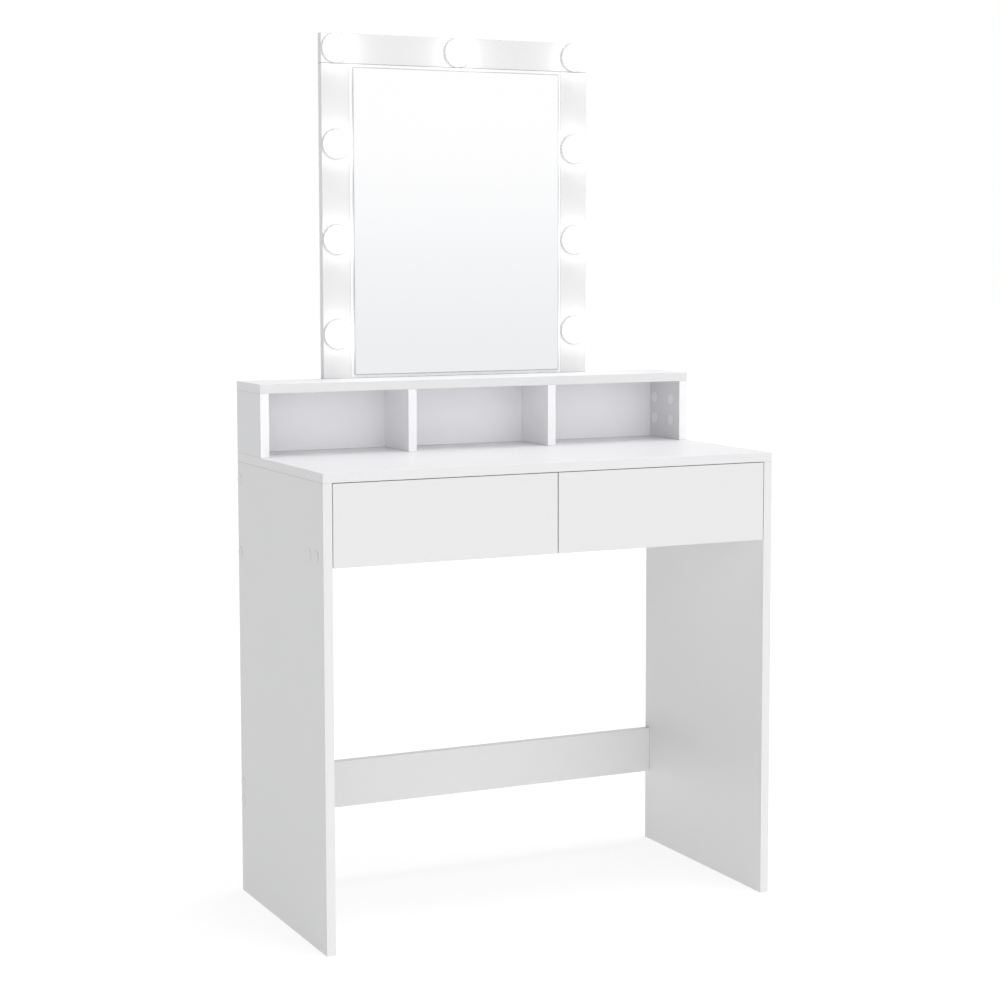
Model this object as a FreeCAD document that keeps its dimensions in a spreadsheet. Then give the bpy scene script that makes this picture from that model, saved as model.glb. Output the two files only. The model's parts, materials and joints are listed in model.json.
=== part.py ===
import FreeCAD, Part
import os
import Sketcher

# A vanity table with a shelf unit (the hutch) and a lighted mirror on it, as flat-pack boards,
# their fittings, and two drawers on roller slides. Millimetres, +Z up, +X to the right of a
# person who sits at it, -Y towards that person. The origin is on the floor, under the middle.

SIZES = (
    ("board", 15, "thickness of the main boards"),
    ("drawer_board", 12, "thickness of the drawer boxes' boards"),
    ("hardboard", 3, "thickness of drawer bottoms and of the mirror's back cover"),
    ("width", 800, "table, over the side panels"),
    ("depth", 400, "table, front to back"),
    ("leg_height", 735, "floor to the tabletop's underside"),
    ("crossbar_low", 128, "floor to the crossbar"),
    ("crossbar_tall", 80, "height of the crossbar"),
    ("rear_panel_tall", 180, "height of the panel behind the drawers"),
    ("front_rail_low", 611.5, "floor to the flat rail under the drawers"),
    ("front_rail_wide", 60, "width of that rail, front to back"),
    ("front_rail_gap", 2, "from the drawer fronts back to that rail"),
    ("front_low", 604, "floor to the drawer fronts"),
    ("front_tall", 129.8, "height of the drawer fronts"),
    ("front_gap", 1.2, "from a drawer front to the side panel"),
    ("middle_gap", 1.8, "between the two drawer fronts"),
    ("slide_gap", 12.5, "from a drawer box to the board beside it"),
    ("box_low", 632, "floor to the drawer boxes"),
    ("box_tall", 88, "height of the drawer boxes"),
    ("box_long", 300, "length of the drawer boxes"),
    ("groove_deep", 5, "depth of the grooves for a drawer's bottom"),
    ("groove_up", 8, "from a drawer box's underside to its groove"),
    ("fit", 0.1, "clearance round a piece in its groove or recess"),
    ("hutch_depth", 118, "hutch, front to back"),
    ("hutch_space", 105, "height inside the hutch"),
    ("mirror_wide", 500, "mirror unit, width"),
    ("mirror_tall", 580, "mirror unit, height"),
    ("light_board", 50, "width of the boards that carry the bulbs"),
    ("glass_thick", 3, "thickness of the mirror glass"),
    ("glass_margin", 5, "centre board left showing round the glass"),
    ("glass_corner", 2.5, "radius of the glass's corners"),
    ("glass_bevel", 1, "bevel round the glass's front"),
    ("cover_margin", 10, "mirror unit left showing round its back cover"),
    ("cover_low", 35, "from the hutch's top up to the back cover"),
    ("channel_wide", 20, "width of the channels for the wires"),
    ("channel_deep", 7, "depth of those channels under the back cover"),
    ("channel_low", 3, "from the back cover's lower edge up to the channels' ends"),
    ("bulb_step", 160, "from bulb to bulb up the mirror's sides"),
    ("base_radius", 25, "bulb base"),
    ("base_tall", 5, "bulb base, in front of the board"),
    ("base_edge", 1, "bevel of the bulb base"),
    ("stem_radius", 4.8, "stem of the bulb base, through the board"),
    ("stem_long", 8, "length of that stem"),
    ("ring_radius", 20.5, "ring of the bulb base, inside the globe"),
    ("ring_thick", 1.5, "thickness of that ring"),
    ("ring_tall", 3, "height of that ring"),
    ("globe_radius", 23, "bulb globe"),
    ("globe_neck", 2, "straight part of the globe"),
    ("globe_wall", 1.5, "thickness of the globe"),
    ("wire_radius", 2, "wiring behind the bulbs"),
    ("wire_bend", 15, "radius of the wiring's bends"),
    ("jack_up", 13, "from the back cover's lower edge to the power jack"),
    ("jack_radius", 4, "power jack's barrel"),
    ("jack_flange", 6, "radius of the power jack's flange"),
    ("jack_flange_thick", 1.5, "thickness of that flange"),
    ("jack_bore", 3.1, "radius of the power jack's socket"),
    ("jack_floor", 2.5, "thickness behind that socket"),
    ("jack_pin", 1, "radius of the socket's pin"),
    ("bracket_wide", 40, "steel plate between mirror and hutch"),
    ("bracket_tall", 70, "height of that plate"),
    ("bracket_thick", 2, "thickness of that plate"),
    ("bracket_corner", 5, "radius of that plate's corners"),
    ("bracket_drop", 40, "from the hutch's top down to the plate's lower edge"),
    ("bracket_apart", 130, "from the middle to each plate"),
    ("bracket_inset", 11, "from the plate's edges to its screws"),
    ("dowel_radius", 4, "wooden dowel"),
    ("dowel_long", 30, "length of a dowel"),
    ("dowel_in_face", 10, "part of a dowel in the face of a board"),
    ("dowel_edge", 1, "bevel of a dowel's ends"),
    ("cam_radius", 7.4, "cam lock"),
    ("cam_deep", 12, "length of a cam lock"),
    ("cam_slot", 4.2, "radius of the slot through a cam lock"),
    ("cam_reach", 34, "from a joint to its cam lock"),
    ("bolt_in_face", 10, "part of a cam bolt in the face of a board"),
    ("bolt_thread", 3, "radius of a cam bolt's thread"),
    ("bolt_shank", 2.5, "radius of a cam bolt's shank"),
    ("bolt_head", 3.7, "radius of a cam bolt's head"),
    ("bolt_head_tall", 3, "height of that head"),
    ("bolt_hole", 4, "radius of the hole for a cam bolt, in the edge of a board"),
    ("confirmat_head", 5, "radius of a confirmat screw's head"),
    ("confirmat_shoulder", 3.5, "radius of its shoulder"),
    ("confirmat_thread", 3, "radius of its thread"),
    ("confirmat_long", 50, "its length"),
    ("socket_radius", 2.3, "hexagon socket in its head, over the corners"),
    ("screw_head", 3.5, "radius of a short screw's flat round head"),
    ("screw_head_tall", 1.6, "height of that head"),
    ("screw_shank", 1.6, "radius of a short screw"),
    ("screw_long", 10.5, "length of a short screw, under its head"),
    ("wood_screw_head", 3.8, "radius of a drawer screw's countersunk head"),
    ("wood_screw_shank", 1.9, "radius of a drawer screw"),
    ("wood_screw_long", 22, "length of a drawer screw"),
    ("recess_long", 3.6, "cross recess of a screw"),
    ("recess_wide", 0.9, "width of the cross's arms"),
    ("recess_deep", 1, "depth of the cross"),
    ("clearance", 0.05, "between a fastener and its hole"),
    ("cap_radius", 10, "round cover over a cam lock or a confirmat screw"),
    ("cap_thick", 0.6, "thickness of that cover"),
    ("rail_front", 19, "from the table's front back to the slides"),
    ("rail_long", 295, "length of the slides"),
    ("rail_tall", 24, "height of a cabinet rail"),
    ("rail_wide", 9.5, "width of a cabinet rail"),
    ("sheet_steel", 1, "thickness of the slides' steel"),
    ("rail_low", 3, "from a cabinet rail's underside up to the drawer box"),
    ("hook_in", 3, "from the board to the drawer rail's top flange"),
    ("hook_up", 21.7, "height of the drawer rail's top flange"),
    ("lip_wide", 12, "width of the drawer rail's lip under the drawer"),
    ("lip_screw", 4, "from the drawer's side to the screws in that lip"),
    ("roller_radius", 9.5, "slide roller"),
    ("roller_wide", 6, "width of a slide roller"),
    ("roller_edge", 0.6, "bevel of a slide roller"),
    ("roller_up", 10.9, "from a cabinet rail's underside to the rollers' axles"),
    ("roller_inset", 14, "from the end of a rail to its roller's axle"),
    ("roller_play", 0.1, "clearance of a roller on its axle and between its sides"),
    ("axle_radius", 2, "roller's riveted axle"),
    ("axle_head", 3.2, "radius of the axle's head and shoulder"),
    ("axle_head_thick", 1.1, "thickness of each of them"),
)

SIDES = (("left", -1), ("right", 1))

# Where the fastenings are, each measured from the place that its note names.
RAIL_HOLES = (37, 69, 165, 229)    # from a slide's front end
LEG_CAMS = (-90, 90)               # from the middle of a side panel's top edge
LEG_DOWELS = (-130, 0, 130)        # from the same middle
REAR_PANEL_SCREWS = (30, 153)      # down from the tabletop
CROSSBAR_SCREWS = (30, 60)         # up from the crossbar's lower edge
FRONT_RAIL_SCREWS = (-16, 16)      # from the middle of the front rail's width
PARTITION_DOWELS = (-120, 120)     # from the middle of the table's depth
PARTITION_SCREWS = (30, 80)        # down from the tabletop
HUTCH_CAMS = (30, 88)              # from the hutch's front
HUTCH_DOWEL = 59                   # from the hutch's front
DIVIDER_DOWELS = (23, 78)          # from the hutch's front
HUTCH_BACK_DOWELS = (27, 78)       # up from the tabletop
HUTCH_TOP_DOWEL = 220              # from the middle, to each side
MIRROR_SIDE_DOWELS = (90, 270, 450)  # up from the hutch's top
MIRROR_TOP_DOWEL = 100             # from the middle, to each side
MIRROR_FOOT_DOWEL = 60             # from the middle, to each side
COVER_SIDE_SCREWS = (20, 175, 330, 480)  # up from the back cover's lower edge
COVER_BODY_SCREWS = (20, 255, 480)  # up from the same edge
COVER_BODY_X = 125                 # from the middle, to each side
COVER_TOP_SCREWS = (-150, 0, 150)  # from the middle
STRIP_INSET = 7.5                  # from a light board's inner edge
BOX_CORNER_SCREWS = (33, 73)       # up from a drawer box's underside
FRONT_SCREW_QUARTERS = (1, 3)      # quarters of a drawer box's width

FRONT = "(-dims.depth / 2)"
BACK = "(dims.depth / 2)"
REAR_FACE = "(dims.depth / 2 - dims.board)"
LEG_INSIDE = "(dims.width / 2 - dims.board)"
LEG_MIDDLE = "(dims.width / 2 - dims.board / 2)"
REAR_MIDDLE = "(dims.depth / 2 - dims.board / 2)"
TABLE = "(dims.leg_height + dims.board)"
HUTCH_FRONT = "(dims.depth / 2 - dims.hutch_depth)"
HUTCH_ROOF = "(dims.leg_height + dims.board + dims.hutch_space)"
MIRROR_LOW = "(dims.leg_height + 2 * dims.board + dims.hutch_space)"
MIRROR_HIGH = f"({MIRROR_LOW} + dims.mirror_tall)"
LIGHT_LOW = f"({MIRROR_HIGH} - dims.light_board)"
LIGHT_X = "(dims.mirror_wide / 2 - dims.light_board / 2)"
LIGHT_INSIDE = "(dims.mirror_wide / 2 - dims.light_board)"
TOP_BULB = f"({MIRROR_HIGH} - dims.light_board / 2)"
COVER_LOW = f"({MIRROR_LOW} + dims.cover_low)"
COVER_FACE = "(dims.depth / 2 - dims.hardboard)"
CHANNEL_FLOOR = "(dims.depth / 2 - dims.hardboard - dims.channel_deep)"
WIRE_Y = "(dims.depth / 2 - dims.hardboard - dims.wire_radius)"
JACK_UP = f"({COVER_LOW} + dims.jack_up)"
FRONT_BACK = "(dims.board - dims.depth / 2)"
FRONT_RAIL_Y = "(dims.board - dims.depth / 2 + dims.front_rail_gap)"
PARTITION_LOW = "(dims.front_rail_low + dims.board)"
RAIL_Z = "(dims.box_low - dims.rail_low)"
RAIL_Y = "(dims.rail_front - dims.depth / 2)"
OPENING = "(dims.width / 2 - dims.board * 3 / 2)"
BOX_WIDE = f"({OPENING} - 2 * dims.slide_gap)"

TURNS = {
    "+X": FreeCAD.Rotation(FreeCAD.Vector(0, 1, 0), 90),
    "-X": FreeCAD.Rotation(FreeCAD.Vector(0, 1, 0), -90),
    "+Y": FreeCAD.Rotation(FreeCAD.Vector(1, 0, 0), -90),
    "-Y": FreeCAD.Rotation(FreeCAD.Vector(1, 0, 0), 90),
    "+Z": FreeCAD.Rotation(),
    "-Z": FreeCAD.Rotation(FreeCAD.Vector(1, 0, 0), 180),
}

doc = FreeCAD.newDocument("vanity_table")
nodes = []
drills = {}
fasteners = {}
holes = {}
set_backs = {}
groups = {}


def make_sheet():
    """The driving sizes, one to a row, each with an alias."""
    sheet = doc.addObject("Spreadsheet::Sheet", "dims")
    for row, (alias, size, note) in enumerate(SIZES, 1):
        sheet.set(f"A{row}", alias)
        sheet.set(f"B{row}", str(size))
        sheet.set(f"C{row}", note)
        sheet.setAlias(f"B{row}", alias)
    doc.recompute()
    return sheet


dims = make_sheet()


# Helpers: every size and place is a formula of the sheet's aliases.


def place(item, at, facing="+Z"):
    """Put an object at three formulas, its own Z axis turned to face the way given."""
    item.Placement = FreeCAD.Placement(FreeCAD.Vector(), TURNS[facing])
    for axis, formula in zip("xyz", at):
        item.setExpression(f"Placement.Base.{axis}", formula)


def sketch_on(body, role, label):
    """An empty sketch on one of the body's origin planes."""
    sketch = body.newObject("Sketcher::SketchObject", label)
    plane = next(item for item in body.Origin.OriginFeatures if item.Role == role)
    sketch.AttachmentSupport = [(plane, "")]
    sketch.MapMode = "FlatFace"
    return sketch


def hold(sketch, edge, across, up):
    """Hold the start of an edge at a pair of formulas, measured from the sketch's origin."""
    for kind, formula, axis in (("DistanceX", across, -2), ("DistanceY", up, -1)):
        if formula == "0":
            sketch.addConstraint(Sketcher.Constraint("PointOnObject", edge, 1, axis))
        else:
            rule = Sketcher.Constraint(kind, -1, 1, edge, 1, dims.evalExpression(formula))
            index = sketch.addConstraint(rule)
            sketch.setExpression(f"Constraints[{index}]", formula)


def outline(sketch, corners):
    """A closed outline of straight edges through pairs of formulas."""
    count = len(corners)
    spots = []
    for across, up in corners:
        spots.append(FreeCAD.Vector(dims.evalExpression(across), dims.evalExpression(up), 0))
    for edge in range(count):
        sketch.addGeometry(Part.LineSegment(spots[edge], spots[(edge + 1) % count]), False)
    for edge in range(count):
        meeting = Sketcher.Constraint("Coincident", edge, 2, (edge + 1) % count, 1)
        sketch.addConstraint(meeting)
    for edge, (across, up) in enumerate(corners):
        hold(sketch, edge, across, up)


def prism(label, role, corners, thick):
    """A body padded from an outline, towards the positive end of the axis across its plane."""
    body = doc.addObject("PartDesign::Body", label)
    sketch = sketch_on(body, role, f"{label}_outline")
    outline(sketch, corners)
    pad = body.newObject("PartDesign::Pad", f"{label}_pad")
    pad.Profile = sketch
    pad.Reversed = role == "XZ_Plane"
    pad.setExpression("Length", thick)
    return body


def slab(label, role, wide, tall, thick, at):
    """A rectangular board with its lowest corner at the point given."""
    body = prism(label, role, (("0", "0"), (wide, "0"), (wide, tall), ("0", tall)), thick)
    place(body, at)
    return body


def turned(label, corners):
    """A round body about its own Z axis, from (radius, height) corners of half its section."""
    body = doc.addObject("PartDesign::Body", label)
    sketch = sketch_on(body, "XZ_Plane", f"{label}_section")
    outline(sketch, corners)
    turn = body.newObject("PartDesign::Revolution", f"{label}_turn")
    turn.Profile = sketch
    turn.ReferenceAxis = (sketch, ["V_Axis"])
    turn.Angle = 360
    return body


def feature(body, kind, label, sizes, at, facing="+Z"):
    """A PartDesign primitive added to a body or cut from it."""
    item = body.newObject(f"PartDesign::{kind}", label)
    for name, formula in sizes.items():
        item.setExpression(name, formula)
    place(item, at, facing)
    return item


def primitive(kind, label, sizes, at, facing="+Z"):
    """A Part primitive for a boolean."""
    item = doc.addObject(f"Part::{kind}", label)
    for name, formula in sizes.items():
        item.setExpression(name, formula)
    place(item, at, facing)
    return item


def block(label, low, size):
    """A Part box from its lowest corner and its three sizes."""
    return primitive("Box", label, dict(zip(("Length", "Width", "Height"), size)), low)


def fuse(label, items):
    """The union of several objects, or the object itself where there is only one."""
    if len(items) == 1:
        return items[0]
    union = doc.addObject("Part::MultiFuse", label)
    union.Shapes = items
    return union


def cut(label, base, tools):
    """The base without its tools."""
    item = doc.addObject("Part::Cut", label)
    item.Base = base
    item.Tool = fuse(f"{label}_tools", tools)
    return item


def copy_of(master, label, at, facing):
    """Another copy of a master object, placed on its own."""
    link = doc.addObject("App::Link", label)
    link.LinkedObject = master
    link.LinkTransform = False
    place(link, at, facing)
    return link


def group(label, copies):
    """One node of several separate solids."""
    item = doc.addObject("Part::Compound", label)
    item.Links = copies
    nodes.append(item)


def keep(label, item):
    """Name a finished sub-part."""
    item.Label = label
    nodes.append(item)


def drill(tool, *boards):
    """Note that a tool is to be cut from each of the boards named."""
    for name in boards:
        drills.setdefault(name, []).append(tool)


def finish_board(name, body):
    """Cut a board's holes and grooves, and keep it."""
    if name in drills:
        body = cut(name, body, drills[name])
    keep(name, body)


# Fasteners. Each points along its own +Z, the way it is driven.


def cross_recess(body, label):
    """The cross in a screw's head."""
    for arm, wide, tall in (("x", "recess_long", "recess_wide"), ("y", "recess_wide", "recess_long")):
        sizes = {"Length": f"dims.{wide}", "Width": f"dims.{tall}", "Height": "dims.recess_deep"}
        at = (f"-dims.{wide} / 2", f"-dims.{tall} / 2", "0")
        feature(body, "SubtractiveBox", f"{label}_recess_{arm}", sizes, at)


def add_kind(kind, node, set_back, corners, hole_corners):
    """A master fastener, its hole, and how far it starts before the joint's plane."""
    fasteners[kind] = turned(kind, corners)
    holes[kind] = turned(f"{kind}_hole", hole_corners)
    set_backs[kind] = set_back
    groups.setdefault(node, [])


def make_dowel():
    """A bevelled wooden dowel."""
    bevel = "dims.dowel_radius - dims.dowel_edge"
    near_end = "dims.dowel_long - dims.dowel_edge"
    shape = (("0", "0"), (bevel, "0"), ("dims.dowel_radius", "dims.dowel_edge"),
             ("dims.dowel_radius", near_end), (bevel, "dims.dowel_long"), ("0", "dims.dowel_long"))
    wall = "dims.dowel_radius + dims.clearance"
    hole = (("0", "0"), (wall, "0"), (wall, "dims.dowel_long"), ("0", "dims.dowel_long"))
    add_kind("dowel", "wooden_dowels", "dims.dowel_in_face", shape, hole)


def make_cam_bolt():
    """A cam bolt: a thread in one board's face, and a head that the cam lock holds."""
    end = "dims.bolt_in_face + dims.cam_reach + dims.bolt_head_tall / 2"
    neck = "dims.bolt_in_face + dims.cam_reach - dims.bolt_head_tall / 2"
    face = "dims.bolt_in_face"
    shape = (("0", "0"), ("dims.bolt_thread", "0"), ("dims.bolt_thread", face),
             ("dims.bolt_shank", face), ("dims.bolt_shank", neck), ("dims.bolt_head", neck),
             ("dims.bolt_head", end), ("0", end))
    thread = "dims.bolt_thread + dims.clearance"
    meet = "dims.bolt_in_face + dims.cam_reach"
    hole = (("0", "0"), (thread, "0"), (thread, face), ("dims.bolt_hole", face),
            ("dims.bolt_hole", meet), ("0", meet))
    add_kind("cam_bolt", "cam_bolts", "dims.bolt_in_face", shape, hole)


def make_cam_lock():
    """A cam lock with a slot across it for the bolt's head, and a cross in its face."""
    shape = (("0", "0"), ("dims.cam_radius", "0"), ("dims.cam_radius", "dims.cam_deep"),
             ("0", "dims.cam_deep"))
    wall = "dims.cam_radius + dims.fit"
    deep = "dims.cam_deep + dims.fit"
    hole = (("0", "0"), (wall, "0"), (wall, deep), ("0", deep))
    add_kind("cam_lock", "cam_locks", "0", shape, hole)
    sizes = {"Radius": "dims.cam_slot", "Height": "4 * dims.cam_radius"}
    at = ("-2 * dims.cam_radius", "0", "dims.board / 2")
    feature(fasteners["cam_lock"], "SubtractiveCylinder", "cam_slot_cut", sizes, at, "+X")
    cross_recess(fasteners["cam_lock"], "cam_lock")


def make_confirmat():
    """A confirmat screw: a countersunk head with a hexagon socket, a shoulder and a thread."""
    def section(grow, deeper):
        head = f"dims.confirmat_head + {grow}"
        shoulder = f"dims.confirmat_shoulder + {grow}"
        thread = f"dims.confirmat_thread + {grow}"
        end = f"dims.confirmat_long + {deeper}"
        cone = "dims.confirmat_head - dims.confirmat_shoulder"
        return (("0", "0"), (head, "0"), (shoulder, cone), (shoulder, "dims.board"),
                (thread, "dims.board"), (thread, f"{end} - dims.confirmat_thread"),
                (f"{thread} / 2", end), ("0", end))
    shape = section("0 * dims.clearance", "0 * dims.clearance")
    add_kind("confirmat", "confirmat_screws", "0", shape, section("dims.clearance", "dims.fit"))
    sizes = {"Circumradius": "dims.socket_radius", "Height": "dims.confirmat_shoulder"}
    socket = feature(fasteners["confirmat"], "SubtractivePrism", "confirmat_socket", sizes,
                     ("0", "0", "0"))
    socket.Polygon = 6


def make_short_screw():
    """A short screw with a flat round head that stands on the surface."""
    tall = "dims.screw_head_tall"
    tip = "dims.screw_head_tall + dims.screw_long"
    shape = (("0", "0"), ("dims.screw_head", "0"), ("dims.screw_head", tall),
             ("dims.screw_shank", tall), ("dims.screw_shank", f"{tip} - dims.screw_shank"),
             ("0", tip))
    wall = "dims.screw_shank + dims.clearance"
    hole = (("0", tall), (wall, tall), (wall, tip), ("0", tip))
    add_kind("short_screw", "short_screws", "dims.screw_head_tall", shape, hole)
    cross_recess(fasteners["short_screw"], "short_screw")


def make_wood_screw():
    """A drawer screw with a countersunk head."""
    def section(grow):
        head = f"dims.wood_screw_head + {grow}"
        shank = f"dims.wood_screw_shank + {grow}"
        cone = "dims.wood_screw_head - dims.wood_screw_shank"
        end = f"dims.wood_screw_long + {grow}"
        return (("0", "0"), (head, "0"), (shank, cone),
                (shank, f"{end} - dims.wood_screw_shank"), ("0", end))
    shape = section("0 * dims.clearance")
    add_kind("wood_screw", "left_drawer_screws", "0", shape, section("dims.clearance"))
    groups.setdefault("right_drawer_screws", [])
    cross_recess(fasteners["wood_screw"], "wood_screw")


def make_cap():
    """A thin round cover with a bevelled edge, that stands on its surface."""
    bevel = "dims.cap_thick / 2"
    fasteners["cap"] = turned("cap", (
        ("0", "0"), ("dims.cap_radius", "0"), ("dims.cap_radius", bevel),
        (f"dims.cap_radius - {bevel}", "dims.cap_thick"), ("0", "dims.cap_thick")))
    groups["cover_caps"] = []


def join(kind, node, at, facing, *boards):
    """Add a fastener at a joint's plane, and drill its hole in every board that it enters."""
    point = list(at)
    axis = "XYZ".index(facing[1])
    back = "-" if facing[0] == "+" else "+"
    point[axis] = f"{point[axis]} {back} ({set_backs[kind]})"
    number = len(groups[node]) + 1
    groups[node].append(copy_of(fasteners[kind], f"{node}_{number}", point, facing))
    hole = copy_of(holes[kind], f"{node}_{number}_hole", point, facing)
    drill(hole, *boards)


def cover(at, facing):
    """Add a round cover on a surface that faces the way given."""
    number = len(groups["cover_caps"]) + 1
    groups["cover_caps"].append(copy_of(fasteners["cap"], f"cover_caps_{number}", at, facing))


def cam_joint(x_sign, inside, along, seat, up_sign, edge_board, face_board):
    """A cam lock in a side board's inner face, its bolt, and the cover over the lock."""
    lock_z = f"{seat} - {up_sign} * dims.cam_reach"
    inward = "-X" if x_sign > 0 else "+X"
    outward = "+X" if x_sign > 0 else "-X"
    down = "-Z" if up_sign > 0 else "+Z"
    face = (f"{x_sign} * {inside}", along, lock_z)
    join("cam_lock", "cam_locks", face, outward, edge_board)
    cover(face, inward)
    middle = (f"{x_sign} * {LEG_MIDDLE}", along, seat)
    join("cam_bolt", "cam_bolts", middle, down, edge_board, face_board)


# The table.


def leg_joints():
    """What holds the side panels to the tabletop, the crossbar, the rear panel and the rail."""
    for side, sign in SIDES:
        leg = f"{side}_side_panel"
        inward = "-X" if sign > 0 else "+X"
        outward = "+X" if sign > 0 else "-X"
        outside = f"{sign} * dims.width / 2"
        middle = f"{sign} * {LEG_MIDDLE}"
        for along in LEG_CAMS:
            cam_joint(sign, LEG_INSIDE, f"{along}", "dims.leg_height", 1, leg, "tabletop")
        for along in LEG_DOWELS:
            join("dowel", "wooden_dowels", (middle, f"{along}", "dims.leg_height"), "-Z",
                 leg, "tabletop")
        rail_middle = "dims.front_rail_low + dims.board / 2"
        for shift in FRONT_RAIL_SCREWS:
            along = f"{FRONT_RAIL_Y} + dims.front_rail_wide / 2 + {shift}"
            spot = (outside, along, rail_middle)
            join("confirmat", "confirmat_screws", spot, inward, leg, "front_rail")
            cover(spot, outward)
        behind = [("rear_panel", f"dims.leg_height - {drop}") for drop in REAR_PANEL_SCREWS]
        behind += [("crossbar", f"dims.crossbar_low + {up}") for up in CROSSBAR_SCREWS]
        for board, height in behind:
            join("confirmat", "confirmat_screws", (outside, REAR_MIDDLE, height), inward, leg, board)
            cover((outside, f"{BACK} - dims.cap_radius", height), outward)


def partition_joints():
    """What holds the partition between the drawers."""
    for along in PARTITION_DOWELS:
        join("dowel", "wooden_dowels", ("0", f"{along}", "dims.leg_height"), "-Z",
             "center_partition", "tabletop")
    for drop in PARTITION_SCREWS:
        join("confirmat", "confirmat_screws", ("0", BACK, f"dims.leg_height - {drop}"), "-Y",
             "rear_panel", "center_partition")
    middle = f"{FRONT_RAIL_Y} + dims.front_rail_wide / 2"
    join("confirmat", "confirmat_screws", ("0", middle, "dims.front_rail_low"), "+Z",
         "front_rail", "center_partition")


def table_boards():
    """The side panels, the tabletop and the boards between the side panels."""
    between = f"2 * {LEG_INSIDE}"
    low_x = f"-{LEG_INSIDE}"
    for side, x in (("left", "-dims.width / 2"), ("right", LEG_INSIDE)):
        name = f"{side}_side_panel"
        body = slab(f"{name}_board", "YZ_Plane", "dims.depth", "dims.leg_height", "dims.board",
                    (x, FRONT, "0"))
        finish_board(name, body)
    finish_board("tabletop", slab(
        "tabletop_board", "XY_Plane", "dims.width", "dims.depth", "dims.board",
        ("-dims.width / 2", FRONT, "dims.leg_height")))
    finish_board("rear_panel", slab(
        "rear_panel_board", "XZ_Plane", between, "dims.rear_panel_tall", "dims.board",
        (low_x, REAR_FACE, "dims.leg_height - dims.rear_panel_tall")))
    finish_board("crossbar", slab(
        "crossbar_board", "XZ_Plane", between, "dims.crossbar_tall", "dims.board",
        (low_x, REAR_FACE, "dims.crossbar_low")))
    finish_board("front_rail", slab(
        "front_rail_board", "XY_Plane", between, "dims.front_rail_wide", "dims.board",
        (low_x, FRONT_RAIL_Y, "dims.front_rail_low")))
    finish_board("center_partition", slab(
        "center_partition_board", "YZ_Plane", f"{REAR_FACE} - {FRONT_RAIL_Y}",
        f"dims.leg_height - {PARTITION_LOW}", "dims.board",
        ("-dims.board / 2", FRONT_RAIL_Y, PARTITION_LOW)))


# The hutch.

DIVIDER_X = f"({LEG_INSIDE} / 3 + dims.board / 6)"


def hutch_joints():
    """Cam locks and dowels of the hutch."""
    for side, sign in SIDES:
        board = f"hutch_{side}_side"
        for seat, up, face in ((HUTCH_ROOF, 1, "hutch_top"), (TABLE, -1, "tabletop")):
            down = "-Z" if up > 0 else "+Z"
            for along in HUTCH_CAMS:
                cam_joint(sign, LEG_INSIDE, f"{HUTCH_FRONT} + {along}", seat, up, board, face)
            spot = (f"{sign} * {LEG_MIDDLE}", f"{HUTCH_FRONT} + {HUTCH_DOWEL}", seat)
            join("dowel", "wooden_dowels", spot, down, board, face)
            for along in DIVIDER_DOWELS:
                spot = (f"{sign} * {DIVIDER_X}", f"{HUTCH_FRONT} + {along}", seat)
                join("dowel", "wooden_dowels", spot, down, f"hutch_{side}_divider", face)
        for up in HUTCH_BACK_DOWELS:
            inward = "-X" if sign > 0 else "+X"
            spot = (f"{sign} * {LEG_INSIDE}", REAR_MIDDLE, f"{TABLE} + {up}")
            join("dowel", "wooden_dowels", spot, inward, board, "hutch_back_panel")
        spot = (f"{sign * HUTCH_TOP_DOWEL}", REAR_MIDDLE, HUTCH_ROOF)
        join("dowel", "wooden_dowels", spot, "-Z", "hutch_back_panel", "hutch_top")


def hutch_boards():
    """Two sides, two dividers, a back panel and a top."""
    for side, x in (("left", "-dims.width / 2"), ("right", LEG_INSIDE)):
        name = f"hutch_{side}_side"
        body = slab(f"{name}_board", "YZ_Plane", "dims.hutch_depth", "dims.hutch_space",
                    "dims.board", (x, HUTCH_FRONT, TABLE))
        finish_board(name, body)
    for side, sign in SIDES:
        name = f"hutch_{side}_divider"
        body = slab(f"{name}_board", "YZ_Plane", "dims.hutch_depth - dims.board",
                    "dims.hutch_space", "dims.board",
                    (f"{sign} * {DIVIDER_X} - dims.board / 2", HUTCH_FRONT, TABLE))
        finish_board(name, body)
    finish_board("hutch_back_panel", slab(
        "hutch_back_panel_board", "XZ_Plane", f"2 * {LEG_INSIDE}", "dims.hutch_space",
        "dims.board", (f"-{LEG_INSIDE}", REAR_FACE, TABLE)))
    finish_board("hutch_top", slab(
        "hutch_top_board", "XY_Plane", "dims.width", "dims.hutch_depth", "dims.board",
        ("-dims.width / 2", HUTCH_FRONT, HUTCH_ROOF)))


# The mirror unit.

MIRROR_BOARDS = ("mirror_center_board", "mirror_left_light_board", "mirror_right_light_board",
                 "mirror_top_light_board")


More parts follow.
